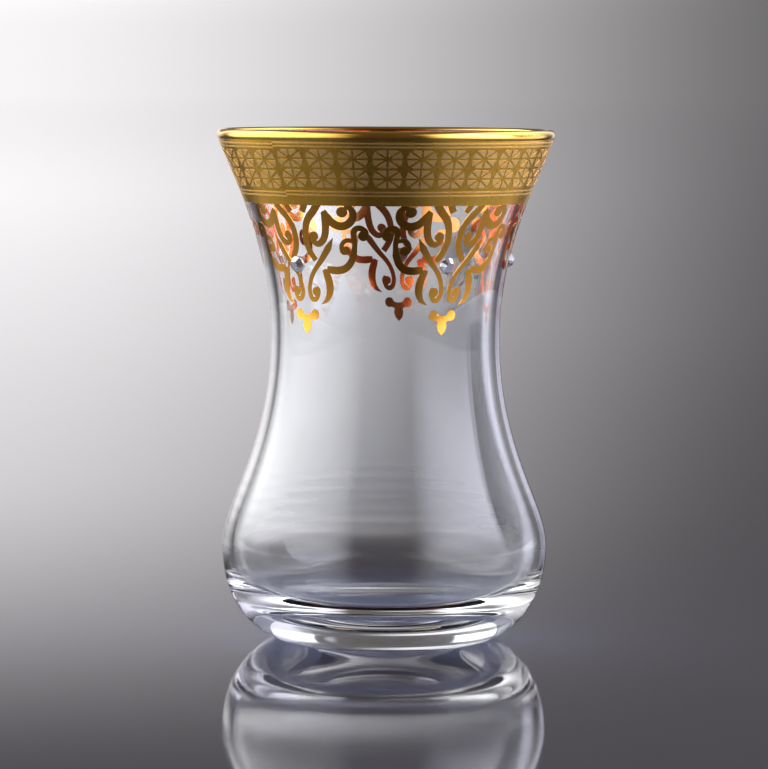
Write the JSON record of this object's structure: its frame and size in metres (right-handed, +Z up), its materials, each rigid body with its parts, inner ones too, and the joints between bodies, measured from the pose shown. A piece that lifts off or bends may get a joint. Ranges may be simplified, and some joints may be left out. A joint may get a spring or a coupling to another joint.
{
  "type": "tea glass",
  "caption": "Waisted clear tea glass with a thick base, a flared gilded rim band, gilt scrollwork pendants and small glued crystals.",
  "frame": {"origin": "centre of the foot on the surface that the glass stands on", "axes": "+Z up along the axis that the glass is turned about; -Y faces the picture's viewer, with +X to the viewer's right"},
  "size_m": [0.06, 0.06, 0.0909],
  "materials": {
    "clear_glass": "clear fire-polished soda-lime glass",
    "crystal": "cut and polished crystal with a silver foil back",
    "gilding": "fired bright gold film with matt gold ornament"
  },
  "bodies": {
    "root": {"glass_body": "clear_glass", "crystal_1": "crystal", "crystal_2": "crystal", "crystal_3": "crystal", "crystal_4": "crystal", "crystal_5": "crystal"}
  },
  "joints": []
}
